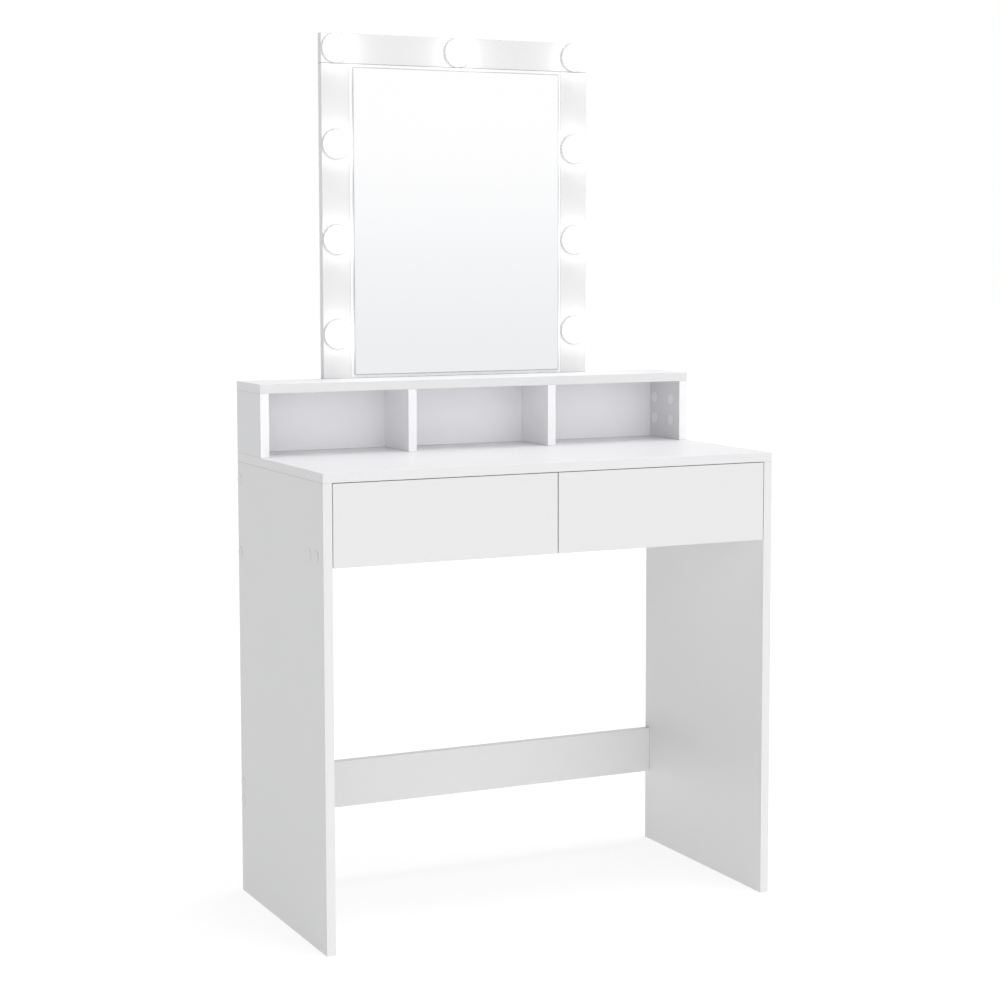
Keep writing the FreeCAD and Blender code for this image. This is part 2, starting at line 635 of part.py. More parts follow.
def mirror_recesses():
    """The recess for the back cover, and the channels for the wires under it."""
    inside = "(dims.mirror_wide / 2 - dims.cover_margin + dims.fit)"
    low = f"({COVER_LOW} - dims.fit)"
    recess = block("cover_recess", (f"-{inside}", COVER_FACE, low),
                   (f"2 * {inside}", "dims.board",
                    f"{MIRROR_HIGH} - dims.cover_margin + dims.fit - {low}"))
    drill(recess, *MIRROR_BOARDS)
    floor = f"({COVER_LOW} + dims.channel_low)"
    roof = f"({TOP_BULB} + dims.channel_wide / 2)"
    for side, sign in SIDES:
        x = f"{sign} * {LIGHT_X} - dims.channel_wide / 2"
        channel = block(f"{side}_channel", (x, CHANNEL_FLOOR, floor),
                        ("dims.channel_wide", "dims.board", f"{roof} - {floor}"))
        drill(channel, f"mirror_{side}_light_board", "mirror_top_light_board")
    across = block("top_channel",
                   (f"-{LIGHT_X} - dims.channel_wide / 2", CHANNEL_FLOOR,
                    f"{roof} - dims.channel_wide"),
                   (f"2 * {LIGHT_X} + dims.channel_wide", "dims.board", "dims.channel_wide"))
    drill(across, "mirror_top_light_board")


def mirror_joints():
    """Dowels of the mirror unit, and the screws of its back cover and plates."""
    thin_middle = f"({REAR_FACE} + (dims.board - dims.hardboard) / 2)"
    for side, sign in SIDES:
        inward = "-X" if sign > 0 else "+X"
        light = f"mirror_{side}_light_board"
        for up in MIRROR_SIDE_DOWELS:
            spot = (f"{sign} * {LIGHT_INSIDE}", thin_middle, f"{MIRROR_LOW} + {up}")
            join("dowel", "wooden_dowels", spot, inward, light, "mirror_center_board")
        spot = (f"{sign * MIRROR_TOP_DOWEL}", thin_middle, LIGHT_LOW)
        join("dowel", "wooden_dowels", spot, "-Z", "mirror_center_board", "mirror_top_light_board")
        spot = (f"{sign * MIRROR_FOOT_DOWEL}", REAR_MIDDLE, MIRROR_LOW)
        join("dowel", "wooden_dowels", spot, "+Z", "mirror_center_board", "hutch_top")
        strip = f"{sign} * ({LIGHT_INSIDE} + {STRIP_INSET})"
        for up in COVER_SIDE_SCREWS:
            spot = (strip, BACK, f"{COVER_LOW} + {up}")
            join("short_screw", "short_screws", spot, "-Y", light, "mirror_back_cover")
        for up in COVER_BODY_SCREWS:
            spot = (f"{sign * COVER_BODY_X}", BACK, f"{COVER_LOW} + {up}")
            join("short_screw", "short_screws", spot, "-Y", "mirror_center_board",
                 "mirror_back_cover")
        plate_join(sign)
    for x in COVER_TOP_SCREWS:
        spot = (f"{x}", BACK, f"{LIGHT_LOW} + {STRIP_INSET}")
        join("short_screw", "short_screws", spot, "-Y", "mirror_top_light_board",
             "mirror_back_cover")


def plate_join(sign):
    """Four screws of one steel plate: two in the hutch's back and two in the mirror."""
    low = f"{MIRROR_LOW} - dims.bracket_drop + dims.bracket_inset"
    high = f"{low} + dims.bracket_tall - 2 * dims.bracket_inset"
    for height, board in ((low, "hutch_back_panel"), (high, "mirror_center_board")):
        for shift in (-1, 1):
            x = f"{sign} * dims.bracket_apart + {shift} * (dims.bracket_wide / 2 - dims.bracket_inset)"
            spot = (x, f"{BACK} + dims.bracket_thick", height)
            join("short_screw", "short_screws", spot, "-Y", board, "mirror_brackets")


def bulbs():
    """Nine bulbs: bases with a stem through the board, and hollow globes on them."""
    stem = "dims.stem_long"
    top = "dims.stem_long + dims.base_tall"
    ring_in = "dims.ring_radius - dims.ring_thick"
    ring_top = f"{top} + dims.ring_tall"
    base = turned("bulb_base", (
        ("0", "0"), ("dims.stem_radius", "0"), ("dims.stem_radius", stem),
        ("dims.base_radius", stem), ("dims.base_radius", f"{top} - dims.base_edge"),
        ("dims.base_radius - dims.base_edge", top), ("dims.ring_radius", top),
        ("dims.ring_radius", ring_top), (ring_in, ring_top), (ring_in, top), ("0", top)))
    wall = "dims.stem_radius + dims.fit"
    bore = turned("bulb_bore", (("0", "0"), (wall, "0"), (wall, stem), ("0", stem)))
    globe = bulb_globe()
    spots = [("left", -1, 0), ("top", 0, 0), ("right", 1, 0)]
    for side, sign in SIDES:
        spots += [(side, sign, row) for row in (1, 2, 3)]
    bases = []
    globes = []
    for number, (side, sign, row) in enumerate(spots, 1):
        x = f"{sign} * {LIGHT_X}"
        z = f"{TOP_BULB} - {row} * dims.bulb_step"
        behind = (x, f"{REAR_FACE} + {stem}", z)
        bases.append(copy_of(base, f"bulb_base_{number}", behind, "-Y"))
        globes.append(copy_of(globe, f"bulb_globe_{number}",
                              (x, f"{REAR_FACE} - dims.base_tall", z), "-Y"))
        board = "top" if row == 0 else side
        drill(copy_of(bore, f"bulb_bore_{number}", behind, "-Y"), f"mirror_{board}_light_board")
    group("bulb_bases", bases)
    group("bulb_globes", globes)


def bulb_globe():
    """A hollow dome on a short straight neck."""
    shells = []
    for name, radius in (("outer", "dims.globe_radius"),
                         ("inner", "(dims.globe_radius - dims.globe_wall)")):
        neck = primitive("Cylinder", f"{name}_neck", {"Radius": radius, "Height": "dims.globe_neck"},
                         ("0", "0", "0"))
        dome = primitive("Sphere", f"{name}_dome", {"Radius": radius}, ("0", "0", "dims.globe_neck"))
        dome.Angle1 = 0
        shells.append(fuse(f"{name}_globe", [neck, dome]))
    return cut("bulb_globe", shells[0], [shells[1]])


def mirror_boards():
    """The centre board, the three light boards round it and the back cover."""
    finish_board("mirror_center_board", slab(
        "mirror_center_board_slab", "XZ_Plane", f"2 * {LIGHT_INSIDE}",
        "dims.mirror_tall - dims.light_board", "dims.board",
        (f"-{LIGHT_INSIDE}", REAR_FACE, MIRROR_LOW)))
    for side, x in (("left", "-dims.mirror_wide / 2"), ("right", LIGHT_INSIDE)):
        name = f"mirror_{side}_light_board"
        body = slab(f"{name}_slab", "XZ_Plane", "dims.light_board",
                    "dims.mirror_tall - dims.light_board", "dims.board",
                    (x, REAR_FACE, MIRROR_LOW))
        finish_board(name, body)
    finish_board("mirror_top_light_board", slab(
        "mirror_top_light_board_slab", "XZ_Plane", "dims.mirror_wide", "dims.light_board",
        "dims.board", ("-dims.mirror_wide / 2", REAR_FACE, LIGHT_LOW)))
    finish_board("mirror_back_cover", slab(
        "mirror_back_cover_sheet", "XZ_Plane", "dims.mirror_wide - 2 * dims.cover_margin",
        "dims.mirror_tall - dims.cover_low - dims.cover_margin", "dims.hardboard",
        ("dims.cover_margin - dims.mirror_wide / 2", COVER_FACE, COVER_LOW)))


def upright_edges(solid):
    """Names of the straight edges that run along Y."""
    names = []
    for index, edge in enumerate(solid.Shape.Edges, 1):
        if abs(edge.tangentAt(edge.FirstParameter).y) > 0.99:
            names.append(f"Edge{index}")
    return names


def round_corners(body, radius):
    """Round the four corners of a plate that lies in the XZ plane."""
    doc.recompute()
    pad = body.Tip
    fillet = body.newObject("PartDesign::Fillet", f"{body.Name}_corners")
    fillet.Base = (pad, upright_edges(pad))
    fillet.setExpression("Radius", radius)
    doc.recompute()
    return fillet


def mirror_glass():
    """The glass, with rounded corners and a narrow bevel round its front."""
    margin = "dims.glass_margin"
    body = slab("mirror_glass", "XZ_Plane", f"2 * {LIGHT_INSIDE} - 2 * {margin}",
                f"dims.mirror_tall - dims.light_board - 2 * {margin}", "dims.glass_thick",
                (f"{margin} - {LIGHT_INSIDE}", f"{REAR_FACE} - dims.glass_thick",
                 f"{MIRROR_LOW} + {margin}"))
    fillet = round_corners(body, "dims.glass_corner")
    front = min(range(len(fillet.Shape.Faces)),
                key=lambda index: fillet.Shape.Faces[index].CenterOfMass.y)
    bevel = body.newObject("PartDesign::Chamfer", "mirror_glass_bevel")
    bevel.Base = (fillet, [f"Face{front + 1}"])
    bevel.setExpression("Size", "dims.glass_bevel")
    keep("mirror_glass", body)


def brackets():
    """The two steel plates between the hutch's back and the mirror."""
    plates = []
    for side, sign in SIDES:
        x = f"{sign} * dims.bracket_apart - dims.bracket_wide / 2"
        body = slab(f"{side}_bracket", "XZ_Plane", "dims.bracket_wide", "dims.bracket_tall",
                    "dims.bracket_thick", (x, BACK, f"{MIRROR_LOW} - dims.bracket_drop"))
        round_corners(body, "dims.bracket_corner")
        plates.append(body)
    both = doc.addObject("Part::Compound", "bracket_plates")
    both.Links = plates
    keep("mirror_brackets", cut("mirror_brackets", both, drills["mirror_brackets"]))


def wire_run(label, at, length, facing):
    """One straight run of the wiring."""
    return primitive("Cylinder", label, {"Radius": "dims.wire_radius", "Height": length}, at, facing)


def wire_harness():
    """The wiring: up one side of the mirror, across its top and down to the power jack."""
    bend_z = f"({TOP_BULB} - dims.wire_bend)"
    low = f"({TOP_BULB} - 3 * dims.bulb_step)"
    jack_top = f"({JACK_UP} + dims.jack_radius)"
    pieces = [
        wire_run("wire_left", (f"-{LIGHT_X}", WIRE_Y, low), f"{bend_z} - {low}", "+Z"),
        wire_run("wire_right", (LIGHT_X, WIRE_Y, jack_top), f"{bend_z} - {jack_top}", "+Z"),
        wire_run("wire_top", (f"dims.wire_bend - {LIGHT_X}", WIRE_Y, TOP_BULB),
                 f"2 * ({LIGHT_X} - dims.wire_bend)", "+X"),
    ]
    for side, sign, start in (("left", -1, 90), ("right", 1, 0)):
        bend = primitive("Torus", f"wire_bend_{side}",
                         {"Radius1": "dims.wire_bend", "Radius2": "dims.wire_radius"},
                         (f"{sign} * ({LIGHT_X} - dims.wire_bend)", WIRE_Y, bend_z), "-Y")
        turn = FreeCAD.Rotation(FreeCAD.Vector(0, 0, 1), start)
        bend.Placement = FreeCAD.Placement(bend.Placement.Base, TURNS["-Y"] * turn)
        bend.Angle3 = 90
        pieces.append(bend)
    keep("wire_harness", fuse("wire_harness", pieces))


def power_jack():
    """The low-voltage power socket at the foot of the right light board."""
    deep = "dims.channel_deep + dims.hardboard"
    out = f"{deep} + dims.jack_flange_thick"
    body = turned("power_jack", (
        ("0", "0"), ("dims.jack_radius", "0"), ("dims.jack_radius", deep),
        ("dims.jack_flange", deep), ("dims.jack_flange", out), ("dims.jack_bore", out),
        ("dims.jack_bore", "dims.jack_floor"), ("dims.jack_pin", "dims.jack_floor"),
        ("dims.jack_pin", deep), ("0", deep)))
    place(body, (LIGHT_X, CHANNEL_FLOOR, JACK_UP), "+Y")
    keep("power_jack", body)


def jack_hole():
    """The hole for the power jack in the back cover."""
    hole = primitive("Cylinder", "jack_hole",
                     {"Radius": "dims.jack_radius + dims.fit", "Height": "dims.board"},
                     (LIGHT_X, CHANNEL_FLOOR, JACK_UP), "+Y")
    drill(hole, "mirror_back_cover")


# The drawers and their slides.


def axle(body, label, base_x, sign, along):
    """A riveted axle on a rail: a shoulder, the axle and its head."""
    step = "dims.axle_head_thick"
    long_pin = f"2 * {step} + dims.roller_wide + 2 * dims.roller_play"
    facing = "+X" if sign > 0 else "-X"
    head_x = f"{base_x} + {sign} * ({long_pin} - {step})"
    for name, radius, length, x in (("shoulder", "axle_head", step, base_x),
                                    ("pin", "axle_radius", long_pin, base_x),
                                    ("head", "axle_head", step, head_x)):
        feature(body, "AdditiveCylinder", f"{label}_{name}",
                {"Radius": f"dims.{radius}", "Height": length}, (x, along, "dims.roller_up"),
                facing)


def cabinet_rail(label, at):
    """The fixed rail of a slide: a channel with screw holes and the fixed roller's axle."""
    steel = "dims.sheet_steel"
    tall = "dims.rail_tall"
    body = prism(label, "XZ_Plane", (
        ("0", "0"), ("dims.rail_wide", "0"), ("dims.rail_wide", steel), (steel, steel),
        (steel, f"{tall} - {steel}"), ("dims.rail_wide", f"{tall} - {steel}"),
        ("dims.rail_wide", tall), ("0", tall)), "dims.rail_long")
    for number, along in enumerate(RAIL_HOLES, 1):
        feature(body, "SubtractiveCylinder", f"{label}_hole_{number}",
                {"Radius": "dims.screw_shank + dims.fit", "Height": f"4 * {steel}"},
                (f"-2 * {steel}", f"{along}", f"{tall} / 2"), "+X")
    axle(body, f"{label}_axle", steel, 1, "dims.roller_inset")
    place(body, at)
    return body


def drawer_rail(label, at):
    """The moving rail: a hooked top flange, a web, a lip under the drawer, and an axle."""
    steel = "dims.sheet_steel"
    outside = "dims.slide_gap"
    web = f"{outside} - {steel}"
    lip = f"dims.rail_low - {steel}"
    end = f"{outside} + dims.lip_wide"
    body = prism(label, "XZ_Plane", (
        ("dims.hook_in", f"dims.hook_up - {steel}"), (web, f"dims.hook_up - {steel}"), (web, lip),
        (end, lip), (end, "dims.rail_low"), (outside, "dims.rail_low"),
        (outside, "dims.hook_up"), ("dims.hook_in", "dims.hook_up")), "dims.rail_long")
    for number, along in enumerate(RAIL_HOLES[::3], 1):
        feature(body, "SubtractiveCone", f"{label}_hole_{number}",
                {"Radius1": "dims.wood_screw_head + dims.clearance",
                 "Radius2": "dims.wood_screw_head + dims.clearance - dims.sheet_steel",
                 "Height": steel},
                (f"{outside} + dims.lip_screw", f"{along}", lip))
    axle(body, f"{label}_axle", web, -1, "dims.rail_long - dims.roller_inset")
    place(body, at)
    return body


def other_hand(label, rail, middle):
    """The same rail for the drawer's right side, mirrored about the drawer's middle."""
    item = doc.addObject("Part::Mirroring", label)
    item.Source = rail
    item.Normal = FreeCAD.Vector(1, 0, 0)
    item.setExpression("Base.x", middle)
    return item


def roller_master():
    """A bored nylon roller with bevelled edges."""
    rim = "dims.roller_radius - dims.roller_edge"
    bore = "dims.axle_radius + dims.roller_play"
    wide = "dims.roller_wide"
    return turned("roller", (
        (bore, "0"), (rim, "0"), ("dims.roller_radius", "dims.roller_edge"),
        ("dims.roller_radius", f"{wide} - dims.roller_edge"), (rim, wide), (bore, wide)))


def roller(label, master, wall, sign, offset, along):
    """One roller on its axle, at an offset from the wall that its cabinet rail is on."""
    facing = "+X" if sign > 0 else "-X"
    item = copy_of(master, f"{label}_link", (f"{wall} + {sign} * ({offset})", along,
                                             f"{RAIL_Z} + dims.roller_up"), facing)
    group(label, [item])


def slides(side, start, master):
    """Both slides of one drawer: two cabinet rails, two drawer rails and four rollers."""
    middle = f"{start} + {OPENING} / 2"
    name = f"{side}_drawer"
    at = (start, RAIL_Y, RAIL_Z)
    for kind, make in (("cabinet_rail", cabinet_rail), ("drawer_rail", drawer_rail)):
        rail = make(f"{name}_left_{kind}", at)
        keep(f"{name}_left_{kind}", rail)
        keep(f"{name}_right_{kind}", other_hand(f"{name}_right_{kind}", rail, middle))
    gap = "(dims.axle_head_thick + dims.roller_play)"
    fixed = f"dims.sheet_steel + {gap}"
    moving = f"dims.slide_gap - dims.sheet_steel - {gap} - dims.roller_wide"
    fixed_y = f"{RAIL_Y} + dims.roller_inset"
    moving_y = f"{RAIL_Y} + dims.rail_long - dims.roller_inset"
    for hand, sign, wall in (("left", 1, start), ("right", -1, f"{start} + {OPENING}")):
        roller(f"{name}_{hand}_fixed_roller", master, wall, sign, fixed, fixed_y)
        roller(f"{name}_{hand}_moving_roller", master, wall, sign, moving, moving_y)


def slide_screws(side, start):
    """Screws of the cabinet rails, and of the drawer rails under the drawer."""
    boards = {"left": ("left_side_panel", "center_partition"),
              "right": ("center_partition", "right_side_panel")}[side]
    height = f"{RAIL_Z} + dims.rail_tall / 2"
    hands = (("left", 1, start, RAIL_HOLES[0::2], "-X"),
             ("right", -1, f"{start} + {OPENING}", RAIL_HOLES[1::2], "+X"))
    for (hand, sign, wall, spots, driven), board in zip(hands, boards):
        for along in spots:
            spot = (f"{wall} + {sign} * dims.sheet_steel", f"{RAIL_Y} + {along}", height)
            join("short_screw", "short_screws", spot, driven, board)
        for along in RAIL_HOLES[::3]:
            x = f"{wall} + {sign} * (dims.slide_gap + dims.lip_screw)"
            spot = (x, f"{RAIL_Y} + {along}", f"{RAIL_Z} + dims.rail_low - dims.sheet_steel")
            join("wood_screw", f"{side}_drawer_screws", spot, "+Z", f"{side}_drawer_{hand}_side")


def drawer_screws(side, box_x):
    """Screws of the drawer box's corners, and of its front."""
    name = f"{side}_drawer"
    thin = "dims.drawer_board"
    for height in BOX_CORNER_SCREWS:
        z = f"dims.box_low + {height}"
        for hand, x, driven in (("left", box_x, "+X"), ("right", f"{box_x} + {BOX_WIDE}", "-X")):
            for board, along in (("inner_front", f"{FRONT_BACK} + {thin} / 2"),
                                 ("back", f"{FRONT_BACK} + dims.box_long - {thin} / 2")):
                join("wood_screw", f"{name}_screws", (x, along, z), driven,
                     f"{name}_{hand}_side", f"{name}_{board}")
    for quarter in FRONT_SCREW_QUARTERS:
        spot = (f"{box_x} + {quarter} * {BOX_WIDE} / 4", f"{FRONT_BACK} + {thin}",
                "dims.box_low + dims.box_tall / 2")
        join("wood_screw", f"{name}_screws", spot, "-Y", f"{name}_inner_front", f"{name}_front")


def drawer(side, start, front_x):
    """One drawer: a front, a box of four boards and a bottom in its grooves."""
    name = f"{side}_drawer"
    thin = "dims.drawer_board"
    box_x = f"{start} + dims.slide_gap"
    inside = f"({BOX_WIDE} - 2 * {thin})"
    bottom_at = (f"{box_x} + {thin} - dims.groove_deep",
                 f"{FRONT_BACK} + {thin} - dims.groove_deep", "dims.box_low + dims.groove_up")
    bottom_size = (f"{inside} + 2 * dims.groove_deep",
                   f"dims.box_long - 2 * {thin} + 2 * dims.groove_deep", "dims.hardboard")
    groove = block(f"{name}_groove", [f"{spot} - dims.fit" for spot in bottom_at],
                   [f"{size} + 2 * dims.fit" for size in bottom_size])
    walls = ("left_side", "right_side", "inner_front", "back")
    drill(groove, *[f"{name}_{wall}" for wall in walls])
    drawer_screws(side, box_x)
    slide_screws(side, start)
    front_wide = "dims.width / 2 - dims.board - dims.front_gap - dims.middle_gap / 2"
    finish_board(f"{name}_front", slab(
        f"{name}_front_board", "XZ_Plane", front_wide, "dims.front_tall", "dims.board",
        (front_x, FRONT, "dims.front_low")))
    for hand, x in (("left", box_x), ("right", f"{box_x} + {BOX_WIDE} - {thin}")):
        finish_board(f"{name}_{hand}_side", slab(
            f"{name}_{hand}_side_board", "YZ_Plane", "dims.box_long", "dims.box_tall", thin,
            (x, FRONT_BACK, "dims.box_low")))
    for board, along in (("inner_front", FRONT_BACK),
                         ("back", f"{FRONT_BACK} + dims.box_long - {thin}")):
        finish_board(f"{name}_{board}", slab(
            f"{name}_{board}_board", "XZ_Plane", inside, "dims.box_tall", thin,
            (f"{box_x} + {thin}", along, "dims.box_low")))
    keep(f"{name}_bottom", slab(f"{name}_bottom", "XY_Plane", *bottom_size, bottom_at))


# Making, checking and writing.


def make_fasteners():
    """The master copy of every kind of fastener and its hole."""
    make_dowel()
    make_cam_bolt()
    make_cam_lock()
    make_confirmat()
    make_short_screw()
    make_wood_screw()
    make_cap()


def make_all():
    """Build every sub-part: joints first, so that each board knows its holes."""
    make_fasteners()
    leg_joints()
    partition_joints()
    hutch_joints()
    mirror_recesses()
    mirror_joints()
    jack_hole()
    bulbs()
    master = roller_master()
    drawer("left", f"(-{LEG_INSIDE})", "dims.front_gap - " + LEG_INSIDE)
    drawer("right", "(dims.board / 2)", "dims.middle_gap / 2")
    slides("left", f"(-{LEG_INSIDE})", master)
    slides("right", "(dims.board / 2)", master)
    table_boards()
    hutch_boards()
    mirror_boards()
    mirror_glass()
    brackets()
    wire_harness()
    power_jack()
    for node, copies in groups.items():
        group(node, copies)


def check_all():
    """Stop at the first object that failed, and at any cut that removed nothing."""
    for item in doc.Objects:
        if "Invalid" in item.State or "Error" in item.State:
            raise RuntimeError(f"{item.Label}: {item.State}")
        if item.TypeId.startswith("PartDesign::Subtractive"):
            if item.Shape.Volume >= item.BaseFeature.Shape.Volume - 1e-6:
                raise RuntimeError(f"{item.Label} cuts nothing")
        if item.TypeId == "Part::Cut" and item.Shape.Volume >= item.Base.Shape.Volume - 1e-6:
            raise RuntimeError(f"{item.Label} cuts nothing")
    for item in nodes:
        if item.Shape.isNull() or not item.Shape.isValid():
            raise RuntimeError(f"{item.Label} has no valid shape")


def write_all():
    """Write one STEP file for each sub-part, and say what was made."""
    os.makedirs("parts", exist_ok=True)
    for item in nodes:
        item.Shape.exportStep(f"parts/{item.Label}.step")
    solids = sum(len(item.Shape.Solids) for item in nodes)
    print(f"{len(nodes)} sub-parts, {solids} solids")


make_all()
doc.recompute()
check_all()
write_all()
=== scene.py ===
import json
import math

import bmesh
import bpy
from mathutils import Matrix, Vector

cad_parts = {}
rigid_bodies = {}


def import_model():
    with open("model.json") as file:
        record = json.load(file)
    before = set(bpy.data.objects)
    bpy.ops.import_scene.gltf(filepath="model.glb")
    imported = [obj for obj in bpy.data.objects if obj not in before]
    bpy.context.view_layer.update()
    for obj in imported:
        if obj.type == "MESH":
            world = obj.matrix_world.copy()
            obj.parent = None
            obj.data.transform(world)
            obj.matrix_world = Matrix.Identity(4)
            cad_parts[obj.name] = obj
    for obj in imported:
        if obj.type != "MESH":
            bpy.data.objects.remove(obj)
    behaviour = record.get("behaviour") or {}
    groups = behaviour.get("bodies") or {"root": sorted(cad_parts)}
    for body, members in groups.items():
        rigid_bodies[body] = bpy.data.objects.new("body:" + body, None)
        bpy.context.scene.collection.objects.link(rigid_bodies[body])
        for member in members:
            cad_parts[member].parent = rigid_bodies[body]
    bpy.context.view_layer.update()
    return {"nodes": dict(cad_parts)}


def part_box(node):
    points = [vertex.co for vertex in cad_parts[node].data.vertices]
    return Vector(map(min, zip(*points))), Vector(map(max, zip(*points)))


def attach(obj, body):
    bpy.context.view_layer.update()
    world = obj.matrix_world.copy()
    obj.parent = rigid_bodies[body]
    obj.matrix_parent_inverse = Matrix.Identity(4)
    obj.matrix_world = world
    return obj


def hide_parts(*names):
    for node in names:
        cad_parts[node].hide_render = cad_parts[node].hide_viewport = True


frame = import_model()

# A white vanity table with a hutch, a lighted mirror and two drawers, in a bright plain studio.
# Metres, +Z up, -Y towards the person who sits at it. Boards, fittings and slides are the frame's
# own nodes with the materials made here; the nine bulbs are modelled here.

MM = 0.001

# The camera: where it stands, which way it looks and how long its lens is.
CAMERA_AT = (-1.5732, -3.2905, 1.0809)
CAMERA_YAW = 25.445
CAMERA_PITCH = -5.254
CAMERA_ROLL = -0.102
CAMERA_LENS = 78.794
CAMERA_SHIFT = -0.045

# Light. The world shows the camera the backdrop, the mirror the reflected grade, and the rest
# the ambient light, which is stronger from the front.
BACKDROP = 1.0
AMBIENT_SIDE = (0.30, 0.30, 0.303)
AMBIENT_FRONT = (1.54, 1.54, 1.55)
FRONT_FROM = 0.55  # how far towards -Y a direction points where the front light begins
REFLECTED_LOW = (0.885, 0.90, 0.905)
REFLECTED_HIGH = (1.04, 1.04, 1.04)
REFLECTED_FROM = -3.2  # degrees above the horizon where the reflected grade begins
REFLECTED_TO = 3.6  # and where it ends
KEY_STRENGTH = 2.05
KEY_SOFTNESS = 50  # degrees across
KEY_FROM = (0.26, -0.12, 0.96)
FLOOR_TONE = 0.3
FLOOR_GLOW = 0.76
FLOOR_HALF = 30.0

# The bulbs, and the light that they throw.
STEM_RADIUS = 4.8 * MM
BASE_TALL = 5 * MM
BASE_LIP = 1.4 * MM
GLOBE_INSET = 2 * MM  # from the base's edge in to the globe
GLOBE_WALL = 1.5 * MM
GLOBE_GLOW = 0.85
LAMP_GLOW = 0.85
LAMP_UP = 25 * MM

# The boards' edges and joints, and the glass's rim.
BAND_THICK = 0.45 * MM
BAND_LINE = 0.06 * MM  # half the width of the line between a face and its edge band
EDGE_ROUND = 0.3 * MM
WELD = 0.005 * MM
# Painted shade by the joints: how far it reaches from a joint, and how dark it is along each axis.
JOINT_SHADE = 0.3 * MM
JOINT_PAINTED_SHADE_TONE = (0.45, 0.45, 0.5)
MIRROR_JOINT_PAINTED_SHADE_TONE = (0.8, 0.5, 0.1)
CONTACT = 0.05 * MM
# The glass's ground border is painted dark this far in, as painted shade.
GLASS_RIM = 1.7 * MM
ON_FACE = 0.7  # a normal this far along an axis belongs to a face across that axis

# The whites of the boards.
BOARD_WHITE = (0.80, 0.80, 0.80, 1.0)
COOL_WHITE = (0.798, 0.797, 0.813, 1.0)
BAND_WHITE = (0.812, 0.812, 0.812, 1.0)
# Painted light: a lighter copy of the board white for faces inside the hutch and the mirror board's
# front.
PAINTED_LIGHT_WHITE = (0.955, 0.955, 0.97, 1.0)
# Painted light: a lighter copy of the band white for the hutch sides' and dividers' edges.
PAINTED_LIGHT_BAND = (0.975, 0.975, 0.985, 1.0)
DRAWER_WHITE = (0.77, 0.77, 0.765, 1.0)
PAINTED_LIGHT_EDGED = ("hutch_left_side", "hutch_right_side", "hutch_left_divider",
                "hutch_right_divider")
# Which face of a board takes the lighter white, painted light for faces inside the hutch and the
# mirror board's front: -1 the lower along its thin axis, 0 both.
PAINTED_LIGHT_SIDE = {"hutch_left_divider": 0, "hutch_right_divider": 0, "hutch_top": -1,
              "hutch_back_panel": -1, "mirror_center_board": -1}


# Materials: every texture is worked out from the piece's own coordinates.


class Paint:
    """A material under construction, with short ways to add and join nodes."""

    def __init__(self, name):
        self.material = bpy.data.materials.new(name)
        self.material.use_nodes = True
        self.tree = self.material.node_tree
        self.shader = self.tree.nodes["Principled BSDF"]
        self.place = self.add("TexCoord")

    def add(self, kind, inputs=None, **settings):
        node = self.tree.nodes.new(f"ShaderNode{kind}")
        for key, value in settings.items():
            setattr(node, key, value)
        for socket, value in (inputs or {}).items():
            self.put(node.inputs[socket], value)
        return node

    def put(self, socket, value):
        if isinstance(value, bpy.types.NodeSocket):
            self.tree.links.new(value, socket)
        else:
            socket.default_value = value

    def set(self, **inputs):
        for name, value in inputs.items():
            self.put(self.shader.inputs[name.replace("_", " ")], value)

    def math(self, operation, *values):
        node = self.add("Math", operation=operation)
        for socket, value in zip(node.inputs, values):
            self.put(socket, value)
        return node.outputs[0]

    def vector(self, operation, *values):
        node = self.add("VectorMath", operation=operation)
        for socket, value in zip(node.inputs, values):
            self.put(socket, value)
        return node.outputs[0]

    def where(self, stretch=(1, 1, 1)):
        """The piece's own coordinates, stretched along an axis for grain."""
        mapping = self.add("Mapping", {"Vector": self.place.outputs["Object"], "Scale": stretch})
        return mapping.outputs[0]

    def noise(self, size, detail=2.0, stretch=(1, 1, 1), rough=0.5):
        """Soft noise whose blobs are about the size given, from 0 to 1."""
        node = self.add("TexNoise", {"Vector": self.where(stretch), "Scale": 1 / size,
                                     "Detail": detail, "Roughness": rough})
        return node.outputs["Fac"]

    def between(self, share, low, high):
        """A number that goes from low to high as share goes from 0 to 1."""
        node = self.add("MapRange", {"Value": share, "To Min": low, "To Max": high})
        return node.outputs[0]

    def blend(self, share, first, second):
        """A colour between two colours."""
        node = self.add("Mix", {"Factor": share}, data_type="RGBA")
        self.put(node.inputs[6], first)
        self.put(node.inputs[7], second)
        return node.outputs[2]

    def tint(self, color, factor):
        """A lighter or darker version of a colour or of a colour output."""
        if not isinstance(color, bpy.types.NodeSocket):
            return shade(color, factor)
        node = self.add("VectorMath", {"Vector": color, "Scale": factor}, operation="SCALE")
        return node.outputs[0]

    def bump(self, height, distance, under=None):
        """A normal that follows a height field, deepest at the distance given in metres."""
        node = self.add("Bump", {"Height": height, "Distance": distance})
        if under is not None:
            self.put(node.inputs["Normal"], under)
        return node.outputs[0]


def rgb(red, green=None, blue=None):
    """A colour with its fourth number, or a grey."""
    if green is None:
        return (red, red, red, 1.0)
    return (red, green, blue, 1.0)


def shade(color, factor):
    """A lighter or darker version of a colour."""
    return tuple(part * factor for part in color[:3]) + (1.0,)


def normal_part(paint, axis):
    """How far a point faces along one of the piece's axes, from -1 to 1."""
    split = paint.add("SeparateXYZ", {"Vector": paint.place.outputs["Normal"]})
    return split.outputs[axis]


